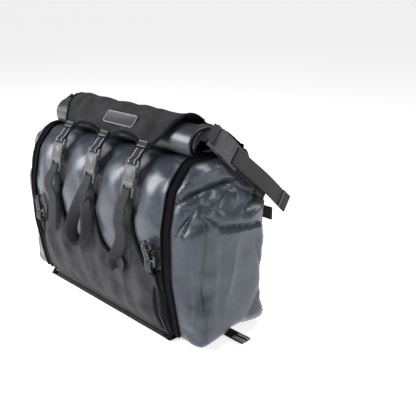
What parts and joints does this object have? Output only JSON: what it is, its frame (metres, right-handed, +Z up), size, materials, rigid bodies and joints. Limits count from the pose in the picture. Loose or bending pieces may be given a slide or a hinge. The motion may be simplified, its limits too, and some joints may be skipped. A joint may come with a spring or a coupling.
{
  "type": "motorcycle saddlebag",
  "caption": "Soft roll-top saddlebag in a strapped nylon holster, with a buckled flap, clipped roll ends and hanging rings.",
  "frame": {"origin": "middle of the holster's base, on the surface it stands on", "axes": "+X along the bag, +Y towards the machine it hangs on, +Z up"},
  "size_m": [0.622, 0.2603, 0.4067],
  "materials": {
    "vinyl": "satin coated fabric",
    "nylon": "matte woven nylon",
    "binding": "folded black tape",
    "webbing": "ribbed woven webbing",
    "buckle": "moulded acetal",
    "badge": "moulded soft plastic",
    "label": "woven label",
    "board": "stiff sheet",
    "ring": "black coated wire"
  },
  "bodies": {
    "bag": {"back_board": "board", "back_label": "label", "base_board": "board", "bottom_loop_left": "webbing", "bottom_loop_right": "webbing", "corner_seam_left_back": "vinyl", "corner_seam_left_front": "vinyl", "corner_seam_right_back": "vinyl", "corner_seam_right_front": "vinyl", "corner_tab_left": "webbing", "corner_tab_right": "webbing", "corner_tie_left": "webbing", "corner_tie_right": "webbing", "dry_bag": "vinyl", "end_female_left": "buckle", "end_female_right": "buckle", "end_loop_left": "webbing", "end_loop_right": "webbing", "front_male_1": "buckle", "front_male_2": "buckle", "front_male_3": "buckle", "front_strap_1": "webbing", "front_strap_2": "webbing", "front_strap_3": "webbing", "hang_tab": "webbing", "holster_back": "nylon", "holster_base": "nylon", "holster_front": "nylon", "ring_tab_left": "webbing", "ring_tab_right": "webbing", "roll_stiffener": "board", "roll_top": "vinyl", "shoulder_strap_left": "webbing", "shoulder_strap_right": "webbing", "side_binding_left": "binding", "side_binding_right": "binding", "strap_guide_left": "webbing", "strap_guide_right": "webbing", "strap_lock_left": "buckle", "strap_lock_right": "buckle"},
    "flap": {"flap": "nylon", "flap_badge": "badge", "strap_keeper_1": "webbing", "strap_keeper_2": "webbing", "strap_keeper_3": "webbing"},
    "hanger_1": {"hanger_strap_1": "webbing", "front_female_1": "buckle"},
    "hanger_2": {"hanger_strap_2": "webbing", "front_female_2": "buckle"},
    "hanger_3": {"hanger_strap_3": "webbing", "front_female_3": "buckle"},
    "ring_left": {"d_ring_left": "ring"},
    "clip_left": {"end_male_left": "buckle", "end_strap_left": "webbing"},
    "ring_right": {"d_ring_right": "ring"},
    "clip_right": {"end_male_right": "buckle", "end_strap_right": "webbing"}
  },
  "joints": [
    {"name": "flap_lift", "type": "hinge", "parent": "bag", "child": "flap", "pos_m": [0, 0.09725, 0.347], "axis": [-1, 0, 0], "range_deg": [0, 120]},
    {"name": "hanger_swing_1", "type": "hinge", "parent": "flap", "child": "hanger_1", "pos_m": [-0.118, -0.0782, 0.3486], "axis": [-1, 0, 0], "range_deg": [-120, 0]},
    {"name": "hanger_swing_2", "type": "hinge", "parent": "flap", "child": "hanger_2", "pos_m": [0, -0.0782, 0.3486], "axis": [-1, 0, 0], "range_deg": [-120, 0]},
    {"name": "hanger_swing_3", "type": "hinge", "parent": "flap", "child": "hanger_3", "pos_m": [0.118, -0.0782, 0.3486], "axis": [-1, 0, 0], "range_deg": [-120, 0]},
    {"name": "ring_swing_left", "type": "hinge", "parent": "bag", "child": "ring_left", "pos_m": [-0.18, 0.1026, 0.318], "axis": [1, 0, 0], "range_deg": [0, 170]},
    {"name": "clip_release_left", "type": "slide", "parent": "bag", "child": "clip_left", "axis": [-0.3283, 0.6088, -0.7222], "range_m": [0, 0.018]},
    {"name": "ring_swing_right", "type": "hinge", "parent": "bag", "child": "ring_right", "pos_m": [0.18, 0.1026, 0.318], "axis": [1, 0, 0], "range_deg": [0, 170]},
    {"name": "clip_release_right", "type": "slide", "parent": "bag", "child": "clip_right", "axis": [0.3283, 0.6088, -0.7222], "range_m": [0, 0.018]}
  ],
  "couplings": [
    {"joint": "hanger_swing_1", "follows": "flap_lift", "ratio": -1},
    {"joint": "hanger_swing_2", "follows": "flap_lift", "ratio": -1},
    {"joint": "hanger_swing_3", "follows": "flap_lift", "ratio": -1}
  ]
}
